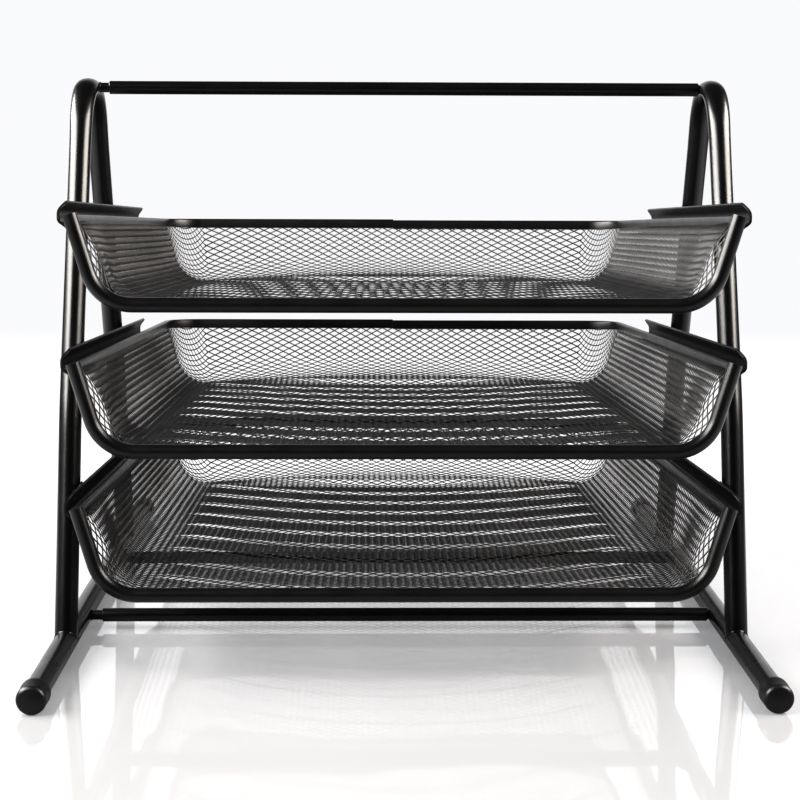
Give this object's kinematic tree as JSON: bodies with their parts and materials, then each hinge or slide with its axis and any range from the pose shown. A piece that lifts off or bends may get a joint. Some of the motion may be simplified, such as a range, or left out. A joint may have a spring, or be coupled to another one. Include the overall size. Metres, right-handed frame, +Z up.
{
  "type": "letter tray",
  "caption": "Tiered desk letter tray: open-front expanded-metal trays that slide in runners on an A-frame tube stand with round end caps.",
  "frame": {"origin": "middle of the whole outline in plan, on the surface the stand rests on", "axes": "+Z up, -Y to the open front of the trays, X across the trays"},
  "size_m": [0.2974, 0.4024, 0.2442],
  "materials": {
    "tube_paint": "semi-gloss black powder coat",
    "runner_paint": "semi-gloss black powder coat on folded sheet",
    "rim_paint": "semi-gloss black powder coat",
    "mesh_paint": "semi-gloss black powder coat on expanded metal",
    "cap_plastic": "fine matte black"
  },
  "bodies": {
    "stand": {"left_leg_tube": "tube_paint", "left_foot_rail": "tube_paint", "front_left_foot_cap": "cap_plastic", "rear_left_foot_cap": "cap_plastic", "right_leg_tube": "tube_paint", "right_foot_rail": "tube_paint", "front_right_foot_cap": "cap_plastic", "rear_right_foot_cap": "cap_plastic", "top_crossbar": "tube_paint", "top_left_spigot": "tube_paint", "top_right_spigot": "tube_paint", "front_crossbar": "tube_paint", "front_left_spigot": "tube_paint", "front_right_spigot": "tube_paint", "rear_crossbar": "tube_paint", "rear_left_spigot": "tube_paint", "rear_right_spigot": "tube_paint", "upper_left_runner": "runner_paint", "upper_right_runner": "runner_paint", "middle_left_runner": "runner_paint", "middle_right_runner": "runner_paint", "lower_left_runner": "runner_paint", "lower_right_runner": "runner_paint"},
    "upper_tray": {"upper_mesh_pan": "mesh_paint", "upper_front_rim": "rim_paint", "upper_left_rim_hem": "rim_paint", "upper_right_rim_hem": "rim_paint"},
    "middle_tray": {"middle_mesh_pan": "mesh_paint", "middle_front_rim": "rim_paint", "middle_left_rim_hem": "rim_paint", "middle_right_rim_hem": "rim_paint"},
    "lower_tray": {"lower_mesh_pan": "mesh_paint", "lower_front_rim": "rim_paint", "lower_left_rim_hem": "rim_paint", "lower_right_rim_hem": "rim_paint"}
  },
  "joints": [
    {"name": "upper_tray_slide", "type": "slide", "parent": "stand", "child": "upper_tray", "axis": [0, -0.9985, 0.0541], "range_m": [0, 0.15]},
    {"name": "middle_tray_slide", "type": "slide", "parent": "stand", "child": "middle_tray", "axis": [0, -0.9985, 0.0541], "range_m": [0, 0.15]},
    {"name": "lower_tray_slide", "type": "slide", "parent": "stand", "child": "lower_tray", "axis": [0, -0.9985, 0.0541], "range_m": [0, 0.15]}
  ]
}
